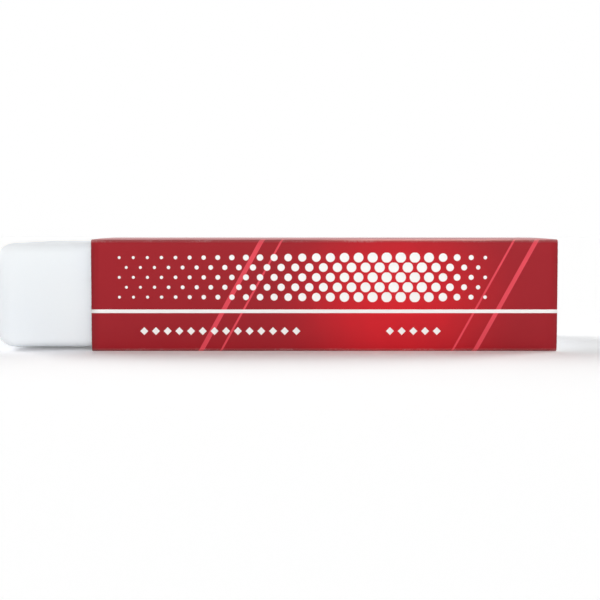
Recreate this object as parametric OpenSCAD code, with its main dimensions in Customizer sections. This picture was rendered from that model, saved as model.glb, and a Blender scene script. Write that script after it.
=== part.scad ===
// Block eraser in a folded card sleeve, lying on its wide face.
// X runs along the block with its bare end at -X, Y across its wide face, Z up through its thickness.
// The origin is the middle of the underside, on the surface that the sleeve lies on.

/* [Rubber block] */
// Length of the block
block_len = 65; // [58:0.5:80]
// Width of the block, across its wide face
block_wid = 24; // [14:0.5:32]
// Thickness of the block, which is the height of its narrow sides
block_thk = 12.1; // [9:0.1:18]
// Radius along the four long edges
long_edge_r = 1.1; // [0.3:0.1:3]
// Radius of the edges around each end
end_edge_r = 2.4; // [0.2:0.1:3]

/* [Card sleeve] */
// Length of the sleeve along the block
sleeve_len = 53.7; // [20:0.1:57]
// Thickness of the card
card_t = 0.35; // [0.2:0.05:0.8]
// Inside radius of the creases
crease_r = 0.15; // [0.05:0.05:0.3]
// Distance from the free edge of the glue flap to the underside of the cavity
flap_clear = 2.6; // [1:0.1:5]
// Distance from the cut edge of the outer back panel to the crease above it
seam_clear = 0.35; // [0.1:0.05:1.5]

/* [Fit] */
// Room between the block and the card, on each side
slide_gap = 0.05; // [0.03:0.01:0.2]
// Depth of the covered end of the block inside the mouth of the sleeve
mouth_recess = 0.2; // [0.1:0.1:3]

/* [Hidden] */

$fn = 96;

overall_len = block_len + mouth_recess;
sleeve_right = overall_len / 2;
sleeve_left = sleeve_right - sleeve_len;
block_left = -overall_len / 2;

// The cavity of the sleeve, which the block slides in
cavity_wid = block_wid + 2 * slide_gap;
cavity_thk = block_thk + 2 * slide_gap;

// The back wall is the glue flap with the outer panel on it, so it is two cards thick and the front wall is one
wrap_front = -(cavity_wid + 3 * card_t) / 2;
cavity_front = wrap_front + card_t;
cavity_back = cavity_front + cavity_wid;
wrap_back = cavity_back + 2 * card_t;
cavity_floor = card_t;
cavity_roof = cavity_floor + cavity_thk;

block_front = cavity_front + slide_gap;
block_floor = cavity_floor + slide_gap;

// A rectangle with its low corner at the origin and four round corners
module rounded_outline(size_a, size_b, r) {
    straight_a = size_a - 2 * r;
    straight_b = size_b - 2 * r;
    translate([r, 0]) square([straight_a, size_b]);
    translate([0, r]) square([size_a, straight_b]);
    for (a = [r, size_a - r], b = [r, size_b - r]) translate([a, b]) circle(r);
}

// Lays a profile drawn in Y and Z along X, from the origin
module along_block(reach) {
    rotate([90, 0, 90]) linear_extrude(reach) children();
}

// The long edges are round from the mould, and the edges of the two cut ends are rubbed round both ways
module eraser_block() {
    color("white") translate([block_left, block_front, block_floor]) intersection() {
        along_block(block_len) rounded_outline(block_wid, block_thk, long_edge_r);
        linear_extrude(block_thk) rounded_outline(block_len, block_wid, end_edge_r);
        translate([0, block_wid, 0]) rotate([90, 0, 0]) linear_extrude(block_wid)
            rounded_outline(block_len, block_thk, end_edge_r);
    }
}

// A flat panel of the sheet, between two corners in Y and Z
module panel(low, high) {
    translate(low) square(high - low);
}

// A quarter turn of the sheet around its crease line. The two signs say which corner of the wrap it is.
module crease(centre_y, centre_z, side_y, side_z) {
    outer_r = crease_r + card_t;
    translate([centre_y, centre_z]) intersection() {
        difference() {
            circle(outer_r);
            circle(crease_r);
        }
        scale([side_y, side_z]) square(outer_r);
    }
}

// The sheet in section, from the free edge of the glue flap, over the top, down the front, under the block,
// and up the back again over the flap
module wrap_section() {
    roof_crease = cavity_roof - crease_r;
    floor_crease = cavity_floor + crease_r;
    front_crease = cavity_front + crease_r;
    flap_crease = cavity_back - crease_r;
    back_crease = cavity_back + card_t - crease_r;

    // Glue flap
    panel([cavity_back, cavity_floor + flap_clear], [cavity_back + card_t, roof_crease]);
    crease(flap_crease, roof_crease, 1, 1);
    // Top panel
    panel([front_crease, cavity_roof], [flap_crease, cavity_roof + card_t]);
    crease(front_crease, roof_crease, -1, 1);
    // Front panel
    panel([wrap_front, floor_crease], [cavity_front, roof_crease]);
    crease(front_crease, floor_crease, -1, -1);
    // Underside
    panel([front_crease, 0], [back_crease, cavity_floor]);
    crease(back_crease, floor_crease, 1, -1);
    // Outer back panel
    panel([cavity_back + card_t, floor_crease], [wrap_back, roof_crease - seam_clear]);
}

module card_sleeve() {
    color("firebrick") translate([sleeve_left, 0, 0]) along_block(sleeve_len) wrap_section();
}

eraser_block();
card_sleeve();
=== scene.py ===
"""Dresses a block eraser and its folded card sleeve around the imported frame.

The sleeve is one sheet of printed card, wrapped by Geometry Nodes along the outline of its own section.
The block is a rounded slab of white rubber. Lengths are in metres, but the print's layout is in millimetres.
"""

import math

import bmesh
import bpy
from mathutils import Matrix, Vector, noise


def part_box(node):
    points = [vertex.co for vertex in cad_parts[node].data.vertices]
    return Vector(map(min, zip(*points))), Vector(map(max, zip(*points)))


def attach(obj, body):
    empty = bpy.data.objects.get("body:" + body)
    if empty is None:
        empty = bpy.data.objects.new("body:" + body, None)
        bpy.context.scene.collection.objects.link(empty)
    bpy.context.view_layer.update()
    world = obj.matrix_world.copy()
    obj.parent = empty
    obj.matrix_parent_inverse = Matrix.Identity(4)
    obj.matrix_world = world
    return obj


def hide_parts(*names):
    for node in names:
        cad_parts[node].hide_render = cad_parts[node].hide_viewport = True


bl_info = {
    "name": "Block Eraser in a Card Sleeve",
    "version": (1, 0, 0),
    "blender": (4, 5, 0),
    "location": "3D View > Sidebar > Eraser",
    "description": "Adds a rubber block, the folded card sleeve around it, and a plain studio",
    "category": "Object",
}

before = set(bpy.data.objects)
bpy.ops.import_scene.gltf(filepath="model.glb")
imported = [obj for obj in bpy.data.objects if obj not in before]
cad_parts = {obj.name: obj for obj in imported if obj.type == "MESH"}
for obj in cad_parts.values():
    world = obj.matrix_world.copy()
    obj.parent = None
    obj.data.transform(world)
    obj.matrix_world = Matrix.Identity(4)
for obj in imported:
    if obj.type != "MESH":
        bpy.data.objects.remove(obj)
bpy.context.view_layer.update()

MM = 0.001

SLEEVE_LOW, SLEEVE_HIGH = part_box("card_sleeve")
BLOCK_LOW, BLOCK_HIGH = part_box("eraser_block")
SLEEVE_SIZE = SLEEVE_HIGH - SLEEVE_LOW
BLOCK_SIZE = BLOCK_HIGH - BLOCK_LOW

# The wrap adds two cards to the block from top to bottom and three from front to back. The room for sliding
# is the same both ways, so the two differences are one card apart.
CARD_T = (SLEEVE_SIZE.y - BLOCK_SIZE.y) - (SLEEVE_SIZE.z - BLOCK_SIZE.z)

WHITE = (1.0, 1.0, 1.0)


def srgb(red, green, blue):
    """A colour given as it looks on a screen, from 0 to 255, as the light values that a shader works in."""
    darkest, dark_slope, lift, power = 0.04045, 12.92, 0.055, 2.4
    parts = (red / 255, green / 255, blue / 255)
    return tuple(p / dark_slope if p <= darkest else ((p + lift) / (1 + lift)) ** power for p in parts)


def scaled(shade, share):
    """A colour with each part of its light multiplied."""
    return tuple(part * share for part in shade)


# Settings


def length(name, description, default):
    """A property that is a length in metres."""
    return bpy.props.FloatProperty(
        name=name, description=description, default=default, min=0, precision=5, unit="LENGTH"
    )


def colour(name, description, default):
    """A property that is a colour."""
    return bpy.props.FloatVectorProperty(
        name=name, description=description, default=default, size=3, min=0, max=1, subtype="COLOR"
    )


def number(name, description, default):
    """A property that is a plain number."""
    return bpy.props.FloatProperty(name=name, description=description, default=default, min=0)


class SleeveSettings(bpy.types.PropertyGroup):
    """Sizes and colours of the card sleeve."""

    crease_radius: length("Crease Radius", "Inside radius of the four creases", 0.15 * MM)
    flap_clearance: length("Flap Clearance", "From the floor of the cavity up to the glue flap", 2.6 * MM)
    seam_clearance: length("Seam Clearance", "From the back panel's cut edge up to the crease", 0.35 * MM)
    panel_bow: length("Panel Bow", "How far a panel swells between its creases", 0.05 * MM)
    cockle: length("Cockle", "Height of the slow waves in the card", 0.02 * MM)
    mesh_step: length("Mesh Step", "Side of a face on the flat panels", 1.0 * MM)
    field: colour("Field", "Red of the printed field, at the ends", srgb(158, 31, 40))
    glow: colour("Glow", "Brighter red around the middle of the print", srgb(216, 31, 42))
    pinstripe: colour("Pinstripe", "Light red of the slanting lines", srgb(240, 82, 96))
    # Painted highlight: the pale red painted along the fold over the front panel
    thin_ink: colour("Thin Ink", "Pale red of the ink where the fold is rubbed thin", srgb(255, 176, 166))
    paper: colour("Paper", "White of the coated face, where nothing is printed", srgb(250, 249, 247))
    board: colour("Board", "Bare board, on the inside and at the cut edges", srgb(226, 222, 213))


class BlockSettings(bpy.types.PropertyGroup):
    """Sizes and colours of the rubber block."""

    long_edge_radius: length("Long Edge Radius", "Radius along the four long edges", 1.1 * MM)
    end_edge_radius: length("End Edge Radius", "Radius of the edges around each end", 2.4 * MM)
    waviness: length("Waviness", "Depth of the shallow hollows in the faces", 0.03 * MM)
    mesh_step: length("Mesh Step", "Side of a face on the flats", 1.0 * MM)
    rubber: colour("Rubber", "White of the rubber", srgb(240, 244, 253))


class StageSettings(bpy.types.PropertyGroup):
    """Camera, floor and lamps."""

    camera_distance: length("Camera Distance", "From the camera to the front of the sleeve", 150 * MM)
    camera_rise: length("Camera Rise", "Height of the camera over the top of the sleeve", 1.6 * MM)
    floor_size: length("Floor Size", "Side of the square floor", 3.0)
    floor_drop: length("Floor Drop", "Room under the sleeve, so that no two faces share a plane", 0.02 * MM)
    floor_white: colour("Floor", "White of the floor", (0.92, 0.92, 0.92))
    floor_lift: number("Floor Lift", "Times that the floor is brighter where it is seen", 1.1)
    floor_glow: number("Floor Glow", "Light that the floor adds where it is seen", 0.18)


# Node trees


class Value:
    """A socket in a node tree. Arithmetic on it adds Math nodes, and numbers may stand on either side."""

    def __init__(self, tree, socket):
        self.tree = tree
        self.socket = socket

    def math(self, operation, *others, clamped=False):
        settings = {"operation": operation, "use_clamp": clamped}
        return self.tree.node("ShaderNodeMath", settings, dict(enumerate((self, *others))))["Value"]

    def _after(self, operation, other):
        """The operation with this value second and the other first."""
        return self.tree.node("ShaderNodeMath", {"operation": operation}, {0: other, 1: self})["Value"]

    def __add__(self, other):
        return self.math("ADD", other)

    def __sub__(self, other):
        return self.math("SUBTRACT", other)

    def __mul__(self, other):
        return self.math("MULTIPLY", other)

    def __truediv__(self, other):
        return self.math("DIVIDE", other)

    def __radd__(self, other):
        return self._after("ADD", other)

    def __rsub__(self, other):
        return self._after("SUBTRACT", other)

    def __rmul__(self, other):
        return self._after("MULTIPLY", other)

    def __rtruediv__(self, other):
        return self._after("DIVIDE", other)

    def __abs__(self):
        return self.math("ABSOLUTE")

    def clamped(self):
        return self.math("ADD", 0, clamped=True)

    def smooth(self, low, high):
        """0 below low, 1 above high and an even ease between them."""
        sockets = {"Value": self, "From Min": low, "From Max": high}
        return self.tree.node("ShaderNodeMapRange", {"interpolation_type": "SMOOTHSTEP"}, sockets)["Result"]

    def xyz(self):
        parts = self.tree.node("ShaderNodeSeparateXYZ", inputs={"Vector": self})
        return parts["X"], parts["Y"], parts["Z"]


class Made:
    """A node in a tree. An index or a name gives one of its outputs as a Value."""

    def __init__(self, tree, node):
        self.tree = tree
        self.node = node

    def __getitem__(self, key):
        return Value(self.tree, pick(self.node.outputs, key))


def pick(sockets, key):
    """The socket with that place or name, of those that the node's settings leave in use."""
    if isinstance(key, int):
        return sockets[key]
    return next(s for s in sockets if s.name == key and s.enabled)


class Tree:
    """A node tree, with one method that adds any node to it."""

    def __init__(self, tree):
        self.tree = tree

    def node(self, kind, settings=None, inputs=None, items=()):
        """Adds a node. Its settings are made first, then its extra items, and then its sockets are fed."""
        node = self.tree.nodes.new(kind)
        for name, value in (settings or {}).items():
            setattr(node, name, value)
        for add_item, arguments in items:
            getattr(node, add_item).new(*arguments)
        for key, value in (inputs or {}).items():
            self.feed(pick(node.inputs, key), value)
        return Made(self, node)

    def feed(self, socket, value):
        if isinstance(value, Value):
            self.tree.links.new(value.socket, socket)
        elif isinstance(value, tuple) and socket.type == "RGBA":
            socket.default_value = (*value, 1)
        else:
            socket.default_value = value

    def mix(self, share, first, second):
        """The first colour at a share of 0, and the second at 1."""
        sockets = {"Factor": share, "A": first, "B": second}
        return self.node("ShaderNodeMix", {"data_type": "RGBA"}, sockets)["Result"]

    def vector(self, x, y, z):
        return self.node("ShaderNodeCombineXYZ", inputs={"X": x, "Y": y, "Z": z})["Vector"]

    def noise(self, place, scale, detail=2.0, roughness=0.5):
        """Smooth random values around 0.5, with a scale in waves a metre on Object coordinates."""
        sockets = {"Vector": place, "Scale": scale, "Detail": detail, "Roughness": roughness}
        return self.node("ShaderNodeTexNoise", inputs=sockets)[0]


class Finish(Tree):
    """A material's tree, from an empty start."""

    def __init__(self, name):
        self.material = bpy.data.materials.new(name)
        self.material.use_nodes = True
        super().__init__(self.material.node_tree)
        self.tree.nodes.clear()

    def object_place(self):
        return self.node("ShaderNodeTexCoord")["Object"]

    def bump(self, height, distance, strength):
        sockets = {"Strength": strength, "Distance": distance, "Height": height}
        return self.node("ShaderNodeBump", inputs=sockets)[0]

    def close(self, **sockets):
        """Ends the tree in a Principled shader, with each socket named as in Python, such as Base_Color."""
        inputs = {name.replace("_", " "): value for name, value in sockets.items()}
        return self.end_in(self.node("ShaderNodeBsdfPrincipled", inputs=inputs)[0])

    def end_in(self, surface):
        self.node("ShaderNodeOutputMaterial", inputs={"Surface": surface})
        return self.material


# Finishes of the rubber


def rubber_finish(settings):
    """Matte white rubber: soft light inside it, a fine skin, knife marks on both cut ends, painted shade by
    the mouth.
    """
    finish = Finish("white_rubber")
    place = finish.object_place()
    x, y, z = place.xyz()

    # Each scale is in waves a metre
    skin_waves, cloud_waves = 5200, 70
    skin = finish.noise(place, skin_waves, detail=3.0, roughness=0.6)
    cloud = finish.noise(place, cloud_waves, detail=1.0)

    # The knife draws long marks down each cut end, which fade out over its round edge
    drag_waves_across, drag_waves_down = 2600, 90
    middle = (BLOCK_LOW.x + BLOCK_HIGH.x) / 2
    reach = BLOCK_SIZE.x / 2 - settings.end_edge_radius / 2
    fade = 0.2 * MM
    cut_end = abs(x - middle).smooth(reach - fade, reach)
    drag = finish.noise(finish.vector(0.0, y * drag_waves_across, z * drag_waves_down), 1.0)
    height = skin * 0.25 + cloud * 1.5 + drag * cut_end * 0.9

    # Painted shade: a faint darker band on the block by the mouth of the sleeve, where the sleeve's edge
    # shades it
    mouth_shade_reach = 2.6 * MM
    mouth_shade = 1 - abs(x - SLEEVE_LOW.x).smooth(0, mouth_shade_reach)
    tone = cloud.smooth(0.35, 0.75) * 0.2 + mouth_shade * 0.25
    # Red, green and blue light reach equally far into it
    even_reach = (1.0, 1.0, 1.0)
    return finish.close(
        Base_Color=finish.mix(tone, tuple(settings.rubber), scaled(settings.rubber, 0.90)),
        Roughness=0.5 + skin * 0.12 - cut_end * 0.06,
        Normal=finish.bump(height, distance=0.012 * MM, strength=0.7),
        Subsurface_Weight=0.9,
        Subsurface_Radius=even_reach,
        Subsurface_Scale=2.0 * MM,
        Specular_IOR_Level=0.4,
    )


# Finishes of the card


class PrintLayout:
    """Where the print lies on the sheet, in millimetres. Along is from the sleeve's left end. Up is from the
    foot of the front panel and on over the top, and below zero it is under the sleeve and up its back."""

    # Width of the edge between two inks
    softness = 0.04
    # The white rule along the sleeve
    rule_up, rule_half = 4.64, 0.205
    # Middle and reach of the brighter red
    glow_along, glow_up = 35.0, 5.8
    glow_wide, glow_high = 15.5, 13.0
    # Place at the foot of the front panel and half width of each slanting line
    slant = 0.55
    pinstripes = ((12.6, 0.30), (14.9, 0.13), (41.6, 0.13), (44.2, 0.28))
    # The large dots stand in staggered rows, largest at their peak and smaller both ways
    dot_rows = (6.25, 11.95)
    dot_pitch_along, dot_pitch_up = 1.62, 1.14
    dot_first, dot_peak, dot_last = 3.0, 37.0, 45.5
    dot_small, dot_large = 0.16, 0.60
    dot_decline_end = 47.5
    # The small diamonds stand in one row in the lower band, in two runs
    diamond_up, diamond_pitch, diamond_size = 2.35, 1.35, 0.46
    diamond_runs = ((4.9, 23.8), (33.2, 39.9))
    # The ink is worn in a line at every fold, and chips off along the two cut ends
    fold_half, fold_soft = 0.16, 0.30
    chip, chip_soft = 0.02, 0.05
    # Painted highlight on the fold over the front panel: strongest around one place, fading from the near
    # distance to the far
    thin_over_fold, thin_along = 0.22, 39.0
    thin_near, thin_far = 4.0, 17.0

    def __init__(self, settings):
        """Works out the marks of the wrap itself: its end, its creases and the rule on the back panel."""
        outer = (settings.crease_radius + CARD_T) / MM
        arc = outer * math.pi / 2
        high = SLEEVE_SIZE.z / MM
        deep = SLEEVE_SIZE.y / MM
        top_run = deep - CARD_T / MM - 2 * outer
        under_run = deep - 2 * outer
        self.end = SLEEVE_SIZE.x / MM
        self.back_rule_up = 2 * outer - 2 * arc - under_run - self.rule_up
        self.front_fold = high - outer + arc / 2
        self.creases = (
            self.front_fold,
            outer - arc / 2,
            self.front_fold + arc + top_run,
            outer - arc - under_run - arc / 2,
        )


def band(value, centre, half, softness):
    """1 within half of the centre, and 0 beyond it."""
    return ((half - abs(value - centre)) / softness + 0.5).clamped()


def within(value, low, high, softness):
    return band(value, (low + high) / 2, (high - low) / 2, softness)


def dot_field(finish, layout, along, up):
    """Round dots in staggered rows. Each takes its size from the place of its centre, so it stays round."""
    row = (up / layout.dot_pitch_up).math("FLOOR")
    stagger = row.math("MODULO", 2) * 0.5
    column = along / layout.dot_pitch_along + stagger
    centre_column = column.math("FLOOR") + 0.5
    centre = (centre_column - stagger) * layout.dot_pitch_along
    across = (column - centre_column) * layout.dot_pitch_along
    rise = up - (row + 0.5) * layout.dot_pitch_up
    distance = (across * across + rise * rise).math("SQRT")
    growth = centre.smooth(layout.dot_first, layout.dot_peak)
    decline = centre.smooth(layout.dot_peak, layout.dot_decline_end)
    radius = layout.dot_small + growth * (1 - decline) * (layout.dot_large - layout.dot_small)
    centre_up = (row + 0.5) * layout.dot_pitch_up
    there = within(centre, layout.dot_first, layout.dot_last, layout.softness)
    there = there * within(centre_up, *layout.dot_rows, layout.softness)
    return ((radius - distance) / layout.softness + 0.5).clamped() * there


def diamond_field(layout, along, up):
    """One row of small diamonds in the lower band, in runs."""
    cell = (along / layout.diamond_pitch).math("FLOOR")
    centre = (cell + 0.5) * layout.diamond_pitch
    distance = abs(along - centre) + abs(up - layout.diamond_up)
    runs = [within(centre, low, high, layout.softness) for low, high in layout.diamond_runs]
    return ((layout.diamond_size - distance) / layout.softness + 0.5).clamped() * (runs[0] + runs[1])


def ink_wear(finish, layout, along, up):
    """How much of the ink is gone: at the folds, in specks and patches, and along the cut ends."""
    speck_waves, patch_waves = 2600, 160
    speck = finish.noise(finish.object_place(), speck_waves, detail=4.0, roughness=0.7)
    patch = finish.noise(finish.object_place(), patch_waves, detail=1.0)
    folds = sum(band(up, at, layout.fold_half, layout.fold_soft) for at in layout.creases)
    cracks = (speck * 0.5 + patch * 0.5).smooth(0.5, 0.66)
    ends = 1 - within(along, layout.chip, layout.end - layout.chip, layout.chip_soft)
    return (folds * (0.06 + cracks * 0.14) + ends * (0.15 + speck.smooth(0.4, 0.6) * 0.6)).clamped()


def print_finish(settings):
    """The printed, coated face: red field, glow, rules, slanting lines, dots and diamonds, wear, and a painted
    highlight on the upper front fold.
    """
    finish = Finish("printed_card")
    layout = PrintLayout(settings)
    place = finish.node("ShaderNodeAttribute", {"attribute_name": "print_place"})["Vector"]
    along, up, _ = place.xyz()
    along = along / MM
    up = up / MM

    off_along = (along - layout.glow_along) / layout.glow_wide
    off_up = (up - layout.glow_up) / layout.glow_high
    glow = 1 - (off_along * off_along + off_up * off_up).math("SQRT").smooth(0.1, 1.0)
    ink = finish.mix(glow, tuple(settings.field), tuple(settings.glow))

    slanted = along - up * layout.slant
    stripes = sum(band(slanted, at, half, layout.softness) for at, half in layout.pinstripes)
    ink = finish.mix(stripes * 0.9, ink, tuple(settings.pinstripe))

    rules = band(up, layout.rule_up, layout.rule_half, layout.softness)
    rules = rules + band(up, layout.back_rule_up, layout.rule_half, layout.softness)
    bare = rules + dot_field(finish, layout, along, up) + diamond_field(layout, along, up)
    worn = ink_wear(finish, layout, along, up)

    fibre_waves, mottle_waves = 3800, 420
    fibre = finish.noise(finish.object_place(), fibre_waves, detail=3.0, roughness=0.65)
    mottle = finish.noise(finish.object_place(), mottle_waves)
    ink = finish.mix((mottle - 0.5) * 0.25 + 0.12, ink, scaled(settings.field, 0.82))

    # Painted highlight: pale red along the fold over the front panel, strongest around one place along it
    highlight_band = band(up, layout.front_fold + layout.thin_over_fold, layout.fold_half, layout.fold_soft)
    highlight_band = highlight_band * (1 - abs(along - layout.thin_along).smooth(layout.thin_near, layout.thin_far))
    ink = finish.mix(highlight_band * 0.85, ink, tuple(settings.thin_ink))
    return finish.close(
        Base_Color=finish.mix((bare + worn).clamped(), ink, tuple(settings.paper)),
        Roughness=0.26 + fibre * 0.12 + worn * 0.3,
        Normal=finish.bump(fibre * 0.6 + mottle * 0.8 - worn * 0.8, distance=0.010 * MM, strength=0.6),
        Specular_IOR_Level=0.18,
    )


def board_finish(settings, name, grain):
    """Bare board, with its fibres' waves a metre in X, Y and Z as its grain."""
    finish = Finish(name)
    place = finish.object_place()
    x, y, z = place.xyz()
    fibre_place = finish.vector(x * grain[0], y * grain[1], z * grain[2])
    fibre = finish.noise(fibre_place, 1.0, detail=4.0, roughness=0.65)
    fleck_waves = 1500
    fleck = finish.noise(place, fleck_waves)
    tone = fibre.smooth(0.35, 0.75) * 0.7 + fleck.smooth(0.62, 0.70) * 0.3
    return finish.close(
        Base_Color=finish.mix(tone, tuple(settings.board), scaled(settings.board, 0.80)),
        Roughness=0.78 + fibre * 0.15,
        Normal=finish.bump(fibre, distance=0.02 * MM, strength=0.6),
        Specular_IOR_Level=0.25,
    )


# The sleeve


def wrap_corners(recipe, size):
    """The outer face of the sheet in section, as corners: from the free edge of the glue flap over the top,
    down the front, under the block, and up the back again over the flap."""
    card = size["Card Thickness"]
    front = size["Front"]
    flap_back = front + size["Cavity Width"] + card * 2
    back = flap_back + card
    roof = size["Cavity Height"] + card * 2
    flap_edge = card + size["Flap Clearance"]
    seam_edge = roof - card - size["Crease Radius"] - size["Seam Clearance"]
    over = ((flap_back, flap_edge), (flap_back, roof), (front, roof))
    under = ((front, 0.0), (back, 0.0), (back, seam_edge))
    return [recipe.vector(size["Left"], y, z) for y, z in over + under]


def wrap_path(recipe, size):
    """The wrap's outline as a curve, rounded at its creases and cut into short steps along its panels."""
    corners = wrap_corners(recipe, size)
    index = recipe.node("GeometryNodeInputIndex")["Index"]
    line = recipe.node("GeometryNodeMeshLine", inputs={"Count": len(corners)})["Mesh"]
    curve = recipe.node("GeometryNodeMeshToCurve", inputs={"Mesh": line})["Curve"]
    spare = [("index_switch_items", ())] * (len(corners) - 2)
    choices = {"Index": index} | {str(place): corner for place, corner in enumerate(corners)}
    chosen = recipe.node("GeometryNodeIndexSwitch", {"data_type": "VECTOR"}, choices, spare)["Output"]
    bent = {"Geometry": curve, "Position": chosen}
    curve = recipe.node("GeometryNodeSetPosition", inputs=bent)["Geometry"]
    radius = size["Crease Radius"] + size["Card Thickness"]
    steps_at_crease = 7
    rounding = {"Curve": curve, "Count": steps_at_crease, "Radius": radius, "Limit Radius": True}
    curve = recipe.node("GeometryNodeFilletCurve", {"mode": "POLY"}, rounding)["Curve"]

    place = recipe.node("GeometryNodeInputPosition")["Position"]
    following = recipe.node(
        "GeometryNodeFieldAtIndex", {"data_type": "FLOAT_VECTOR"}, {"Value": place, "Index": index + 1}
    )["Value"]
    gap = recipe.node("ShaderNodeVectorMath", {"operation": "DISTANCE"}, {0: place, 1: following})["Value"]
    cuts = (gap / size["Mesh Step"]).math("FLOOR")
    curve = recipe.node("GeometryNodeSubdivideCurve", inputs={"Curve": curve, "Cuts": cuts})["Curve"]
    sideways = {"Curve": curve, "Normal": (1.0, 0.0, 0.0)}
    return recipe.node("GeometryNodeSetCurveNormal", {"mode": "FREE"}, sideways)["Curve"]


def swept_sheet(recipe, size):
    """The sheet's outer face, swept along the sleeve, with each point's place in the print stored on it."""
    path = wrap_path(recipe, size)
    walked = recipe.node("GeometryNodeSplineParameter")["Length"]
    kept = recipe.node(
        "GeometryNodeCaptureAttribute",
        {"domain": "POINT"},
        {"Geometry": path},
        [("capture_items", ("FLOAT", "Walked"))],
    )
    recipe.feed(kept.node.inputs["Walked"], walked)
    reach = recipe.vector(size["Length"], 0.0, 0.0)
    straight = {"Start": reach, "End": (0.0, 0.0, 0.0)}
    edge = recipe.node("GeometryNodeCurvePrimitiveLine", inputs=straight)["Curve"]
    count = (size["Length"] / size["Mesh Step"]).math("CEIL") + 1
    edge = recipe.node("GeometryNodeResampleCurve", inputs={"Curve": edge, "Count": count})["Curve"]
    sweep = {"Curve": kept["Geometry"], "Profile Curve": edge}
    sheet = recipe.node("GeometryNodeCurveToMesh", inputs=sweep)["Mesh"]

    x, _, _ = recipe.node("GeometryNodeInputPosition")["Position"].xyz()
    print_place = recipe.vector(x - size["Left"], size["Front Foot"] - kept["Walked"], 0.0)
    return recipe.node(
        "GeometryNodeStoreNamedAttribute",
        {"data_type": "FLOAT_VECTOR", "domain": "POINT"},
        {"Geometry": sheet, "Name": "print_place", "Value": print_place},
    )["Geometry"]


def bulge(share):
    """0 at both sides of a panel and 1 in its middle."""
    return share * (1 - share) * 4


def swollen(recipe, size, sheet):
    """Lets each panel swell a little between its creases, with slow waves, but keeps the underside flat."""
    place = recipe.node("GeometryNodeInputPosition")["Position"]
    _, y, z = place.xyz()
    normal = recipe.node("GeometryNodeInputNormal")["Normal"]
    _, facing_y, facing_z = normal.xyz()
    across = ((y - size["Front"]) / (size["Cavity Width"] + size["Card Thickness"] * 2)).clamped()
    rise = (z / (size["Cavity Height"] + size["Card Thickness"] * 2)).clamped()
    crown = bulge(across) * facing_z.clamped() + bulge(rise) * abs(facing_y)
    cockle_waves = 90
    wave = recipe.noise(place, cockle_waves, detail=1.0)
    swell = crown * (size["Panel Bow"] + wave * size["Cockle"])
    outward = {"Vector": normal, "Scale": swell}
    offset = recipe.node("ShaderNodeVectorMath", {"operation": "SCALE"}, outward)["Vector"]
    return recipe.node("GeometryNodeSetPosition", inputs={"Geometry": sheet, "Offset": offset})["Geometry"]


def faced(recipe, mesh, material, selection=True):
    """Gives the selected faces a material."""
    inputs = {"Geometry": mesh, "Material": material, "Selection": selection}
    return recipe.node("GeometryNodeSetMaterial", inputs=inputs)["Geometry"]


def thickened(recipe, size, sheet):
    """Gives the sheet its thickness inwards: printed outside, bare inside, and cut at its edges."""
    printed = faced(recipe, sheet, size["Printed Face"])
    flipped = recipe.node("GeometryNodeFlipFaces", inputs={"Mesh": sheet})["Mesh"]
    inner = recipe.node(
        "GeometryNodeExtrudeMesh",
        {"mode": "FACES"},
        {"Mesh": flipped, "Offset Scale": size["Card Thickness"], "Individual": False},
    )
    flat_cut = {"Geometry": inner["Mesh"], "Selection": inner["Side"], "Shade Smooth": False}
    bare = recipe.node("GeometryNodeSetShadeSmooth", inputs=flat_cut)["Geometry"]
    bare = faced(recipe, bare, size["Bare Face"], inner["Top"])
    bare = faced(recipe, bare, size["Cut Edge"], inner["Side"])
    both = recipe.node("GeometryNodeJoinGeometry")
    for part in (printed, bare):
        recipe.tree.links.new(part.socket, both.node.inputs["Geometry"])
    weld = {"Geometry": both["Geometry"], "Distance": 0.0001 * MM}
    return recipe.node("GeometryNodeMergeByDistance", inputs=weld)["Geometry"]


def sleeve_tree(sizes, materials):
    """The tree that wraps the sheet. Returns it with the identifier of each named input."""
    group = bpy.data.node_groups.new("card_wrap", "GeometryNodeTree")
    group.interface.new_socket("Geometry", in_out="OUTPUT", socket_type="NodeSocketGeometry")
    kinds = dict.fromkeys(sizes, "NodeSocketFloat") | dict.fromkeys(materials, "NodeSocketMaterial")
    identifiers = {}
    for name, kind in kinds.items():
        identifiers[name] = group.interface.new_socket(name, in_out="INPUT", socket_type=kind).identifier
    recipe = Tree(group)
    given = recipe.node("NodeGroupInput")
    sheet = swollen(recipe, given, swept_sheet(recipe, given))
    whole = thickened(recipe, given, sheet)
    whole = recipe.node("GeometryNodeRealizeInstances", inputs={"Geometry": whole})["Geometry"]
    recipe.node("NodeGroupOutput", inputs={"Geometry": whole})
    return group, identifiers


def made_plain(piece):
    """Turns what the modifiers make into the piece's own mesh, and removes them."""
    depsgraph = bpy.context.evaluated_depsgraph_get()
    mesh = bpy.data.meshes.new_from_object(
        piece.evaluated_get(depsgraph), preserve_all_data_layers=True, depsgraph=depsgraph
    )
    mesh.name = piece.name
    piece.modifiers.clear()
    piece.data = mesh


def new_piece(name, mesh=None):
    """Adds an object with a mesh of its own, empty if none is given."""
    piece = bpy.data.objects.new(name, mesh or bpy.data.meshes.new(name))
    bpy.context.scene.collection.objects.link(piece)
    return piece


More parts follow.
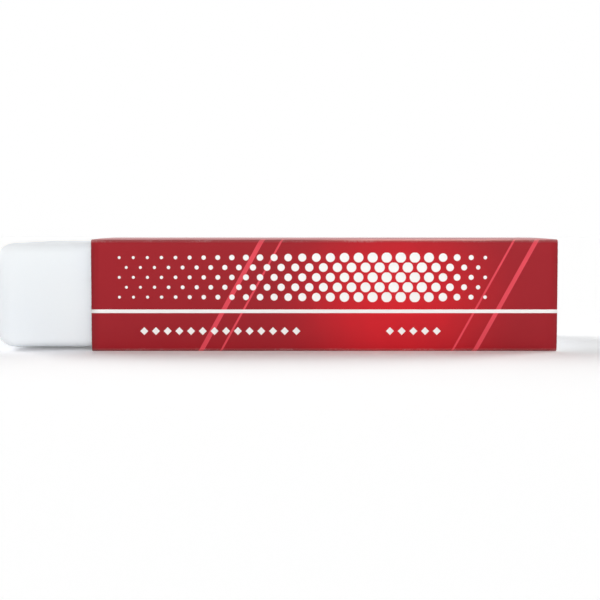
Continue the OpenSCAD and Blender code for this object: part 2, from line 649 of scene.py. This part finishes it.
def add_sleeve(settings):
    """Wraps the printed sheet around the block's cavity."""
    outer = settings.crease_radius + CARD_T
    arc = outer * math.pi / 2
    cavity_high = SLEEVE_SIZE.z - 2 * CARD_T
    cavity_wide = SLEEVE_SIZE.y - 3 * CARD_T
    flap_run = SLEEVE_SIZE.z - outer - CARD_T - settings.flap_clearance
    top_run = cavity_wide + 2 * CARD_T - 2 * outer
    front_run = SLEEVE_SIZE.z - 2 * outer
    # The foot lies below the straight run of the front panel by the outer radius of a crease
    front_foot = flap_run + arc + top_run + arc + front_run + outer
    sizes = {
        "Left": SLEEVE_LOW.x,
        "Front": SLEEVE_LOW.y,
        "Length": SLEEVE_SIZE.x,
        "Cavity Width": cavity_wide,
        "Cavity Height": cavity_high,
        "Card Thickness": CARD_T,
        "Crease Radius": settings.crease_radius,
        "Flap Clearance": settings.flap_clearance,
        "Seam Clearance": settings.seam_clearance,
        "Panel Bow": settings.panel_bow,
        "Cockle": settings.cockle,
        "Mesh Step": settings.mesh_step,
        "Front Foot": front_foot,
    }
    # The fibres run along the sleeve inside it, and show as short stubs where the card is cut
    grain_inside = (500, 2200, 2200)
    grain_at_cut = (9000, 5000, 5000)
    materials = {
        "Printed Face": print_finish(settings),
        "Bare Face": board_finish(settings, "bare_board", grain_inside),
        "Cut Edge": board_finish(settings, "cut_board", grain_at_cut),
    }
    group, identifiers = sleeve_tree(sizes, materials)
    piece = new_piece("folded_sleeve")
    wrap = piece.modifiers.new("wrap", "NODES")
    wrap.node_group = group
    for name, value in (sizes | materials).items():
        wrap[identifiers[name]] = value
    made_plain(piece)
    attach(piece, "sleeve")
    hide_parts("card_sleeve")


# The block


def steps_between(low, high, step):
    """Even places from low to high, both included, at most one step apart."""
    count = max(1, math.ceil((high - low) / step))
    return [low + (high - low) * place / count for place in range(count + 1)]


def section_ring(half_y, half_z, radius, step, turns):
    """The block's section in Y and Z around its middle, with round corners and short steps on its flats."""
    flat_y = half_y - radius
    flat_z = half_z - radius
    centres = ((flat_y, flat_z), (-flat_y, flat_z), (-flat_y, -flat_z), (flat_y, -flat_z))
    flats = (2 * flat_y, 2 * flat_z, 2 * flat_y, 2 * flat_z)
    ring = []
    for quarter, ((centre_y, centre_z), flat) in enumerate(zip(centres, flats)):
        for turn in range(turns + 1):
            angle = math.pi / 2 * (quarter + turn / turns)
            ring.append((centre_y + radius * math.cos(angle), centre_z + radius * math.sin(angle)))
        start_y, start_z = ring[-1]
        direction = math.pi / 2 * (quarter + 2)
        for run in steps_between(0.0, flat, step)[1:-1]:
            ring.append((start_y + run * math.cos(direction), start_z + run * math.sin(direction)))
    return ring


def end_stations(half, radius, step, turns):
    """Places along the block from end to end, each with how far the section has drawn in there."""
    turned = [math.pi / 2 * turn / turns for turn in range(turns + 1)]
    left = [(-half + radius * (1 - math.cos(a)), radius * (1 - math.sin(a))) for a in turned]
    flat = [(place, 0.0) for place in steps_between(radius - half, half - radius, step)[1:-1]]
    right = [(-place, inset) for place, inset in reversed(left)]
    return left + flat + right


def add_block(settings):
    """Shapes the rubber block: soft round edges, and faces that dip a little, as moulded rubber does."""
    half = BLOCK_SIZE / 2
    centre = (BLOCK_LOW + BLOCK_HIGH) / 2
    turns_at_edge = 8
    ring = section_ring(half.y, half.z, settings.long_edge_radius, settings.mesh_step, turns_at_edge)
    stations = end_stations(half.x, settings.end_edge_radius, settings.mesh_step, turns_at_edge)
    shape = bmesh.new()
    rings = []
    for along, inset in stations:
        narrow_y = 1 - inset / half.y
        narrow_z = 1 - inset / half.z
        places = [(centre.x + along, centre.y + y * narrow_y, centre.z + z * narrow_z) for y, z in ring]
        rings.append([shape.verts.new(place) for place in places])
    for here, there in zip(rings, rings[1:]):
        for at in range(len(ring)):
            shape.faces.new((here[at - 1], here[at], there[at], there[at - 1]))
    shape.faces.new(reversed(rings[0]))
    shape.faces.new(rings[-1])
    shape.normal_update()
    for face in shape.faces:
        face.smooth = True
    hollow_waves = 75
    for vert in shape.verts:
        dip = 0.5 + 0.5 * noise.noise(vert.co * hollow_waves)
        vert.co -= vert.normal * settings.waviness * dip
    mesh = bpy.data.meshes.new("rubber_block")
    shape.to_mesh(mesh)
    shape.free()
    mesh.materials.append(rubber_finish(settings))
    piece = new_piece("rubber_block", mesh)
    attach(piece, "block")
    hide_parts("eraser_block")


# The stage


def add_camera(settings):
    """Looks square on to the narrow side, from just over the height of the sleeve."""
    # The photograph is 600 pixels wide and high. The sleeve in it starts 91.4 pixels in and is 465.9 long,
    # and its foot is 351.5 pixels down.
    picture_side_px, sleeve_left_px, sleeve_long_px, sleeve_foot_px = 600, 91.4, 465.9, 351.5
    pixel = SLEEVE_SIZE.x / sleeve_long_px
    aim = Vector((
        SLEEVE_LOW.x + (picture_side_px / 2 - sleeve_left_px) * pixel,
        SLEEVE_LOW.y,
        SLEEVE_LOW.z + (sleeve_foot_px - picture_side_px / 2) * pixel,
    ))
    place = Vector((aim.x, aim.y - settings.camera_distance, SLEEVE_HIGH.z + settings.camera_rise))
    data = bpy.data.cameras.new("camera")
    data.sensor_width = 36.0
    data.lens = data.sensor_width * (aim - place).length / (picture_side_px * pixel)
    data.clip_start = 0.005
    camera = bpy.data.objects.new("camera", data)
    camera.location = place
    camera.rotation_euler = (aim - place).to_track_quat("-Z", "Y").to_euler()
    bpy.context.scene.collection.objects.link(camera)
    bpy.context.scene.camera = camera


def seen_directly(tree):
    """1 on rays that show a surface, directly or in a reflection, and 0 on those that carry its light."""
    path = tree.node("ShaderNodeLightPath")
    return (path["Is Camera Ray"] + path["Is Glossy Ray"] + path["Is Transmission Ray"]).clamped()


def floor_finish(settings):
    """White floor that keeps its shadows, and looks as white as the backdrop where nothing shades it."""
    finish = Finish("studio_floor")
    seen = seen_directly(finish)
    lifted = scaled(settings.floor_white, settings.floor_lift)
    shade = finish.mix(seen, tuple(settings.floor_white), lifted)
    diffuse = finish.node("ShaderNodeBsdfDiffuse", inputs={"Color": shade})[0]
    glow = {"Color": WHITE, "Strength": seen * settings.floor_glow}
    glow = finish.node("ShaderNodeEmission", inputs=glow)[0]
    return finish.end_in(finish.node("ShaderNodeAddShader", inputs={0: diffuse, 1: glow})[0])


def add_floor(settings):
    mesh = bpy.data.meshes.new("floor")
    half = settings.floor_size / 2
    level = SLEEVE_LOW.z - settings.floor_drop
    places = [(-half, -half, level), (half, -half, level), (half, half, level), (-half, half, level)]
    mesh.from_pydata(places, [], [(0, 1, 2, 3)])
    mesh.materials.append(floor_finish(settings))
    new_piece("floor", mesh)


def add_lamp(name, bearing, elevation, light, spread):
    """A large soft lamp, far off, that leaves no glare. Its bearing from the front towards the right, its
    elevation and its spread are in degrees. Its light is what it adds to a white surface that faces it."""
    data = bpy.data.lights.new(name, "SUN")
    data.energy = light * math.pi
    data.angle = math.radians(spread)
    lamp = bpy.data.objects.new(name, data)
    lamp.rotation_euler = (math.radians(90 - elevation), 0, math.radians(bearing))
    lamp.visible_glossy = False
    bpy.context.scene.collection.objects.link(lamp)


def add_world(light):
    """Even white light from all around, behind a white backdrop."""
    world = bpy.data.worlds.new("studio")
    world.use_nodes = True
    tree = Tree(world.node_tree)
    tree.tree.nodes.clear()
    strength = light + seen_directly(tree) * (1 - light)
    sky = tree.node("ShaderNodeBackground", inputs={"Color": WHITE, "Strength": strength})[0]
    tree.node("ShaderNodeOutputWorld", inputs={"Surface": sky})
    bpy.context.scene.world = world


def add_stage(settings):
    """Camera, white floor and backdrop, a lamp behind the object on either side, and a low one in front."""
    add_camera(settings)
    add_floor(settings)
    add_world(light=0.06)
    add_lamp("left_back", bearing=-122, elevation=30, light=0.74, spread=44)
    add_lamp("right_back", bearing=122, elevation=28, light=0.54, spread=36)
    add_lamp("front", bearing=8, elevation=5, light=0.99, spread=40)
    bpy.context.scene.view_settings.view_transform = "Standard"


# Operators and panel


class ERASER_OT_add_sleeve(bpy.types.Operator):
    """Add the folded and printed card sleeve"""

    bl_idname = "eraser.add_sleeve"
    bl_label = "Add Sleeve"

    def execute(self, context):
        add_sleeve(context.scene.eraser_sleeve)
        return {"FINISHED"}


class ERASER_OT_add_block(bpy.types.Operator):
    """Add the white rubber block"""

    bl_idname = "eraser.add_block"
    bl_label = "Add Block"

    def execute(self, context):
        add_block(context.scene.eraser_block)
        return {"FINISHED"}


class ERASER_OT_add_stage(bpy.types.Operator):
    """Add the camera, the floor and the lamps"""

    bl_idname = "eraser.add_stage"
    bl_label = "Add Stage"

    def execute(self, context):
        add_stage(context.scene.eraser_stage)
        return {"FINISHED"}


class ERASER_PT_build(bpy.types.Panel):
    """Lists the steps and their settings"""

    bl_label = "Block Eraser"
    bl_space_type = "VIEW_3D"
    bl_region_type = "UI"
    bl_category = "Eraser"

    def draw(self, context):
        for group, operator in STEPS:
            settings = getattr(context.scene, group)
            box = self.layout.box()
            for name in settings.__annotations__:
                box.prop(settings, name)
            box.operator(operator)


STEPS = (
    ("eraser_sleeve", "eraser.add_sleeve"),
    ("eraser_block", "eraser.add_block"),
    ("eraser_stage", "eraser.add_stage"),
)
GROUPS = {"eraser_sleeve": SleeveSettings, "eraser_block": BlockSettings, "eraser_stage": StageSettings}
OPERATORS = (ERASER_OT_add_sleeve, ERASER_OT_add_block, ERASER_OT_add_stage)
CLASSES = (*GROUPS.values(), *OPERATORS, ERASER_PT_build)


def register():
    for kind in CLASSES:
        bpy.utils.register_class(kind)
    for name, kind in GROUPS.items():
        setattr(bpy.types.Scene, name, bpy.props.PointerProperty(type=kind))


def unregister():
    for name in GROUPS:
        delattr(bpy.types.Scene, name)
    for kind in reversed(CLASSES):
        bpy.utils.unregister_class(kind)


def main():
    register()
    bpy.ops.eraser.add_sleeve()
    bpy.ops.eraser.add_block()
    bpy.ops.eraser.add_stage()


if __name__ == "__main__":
    main()
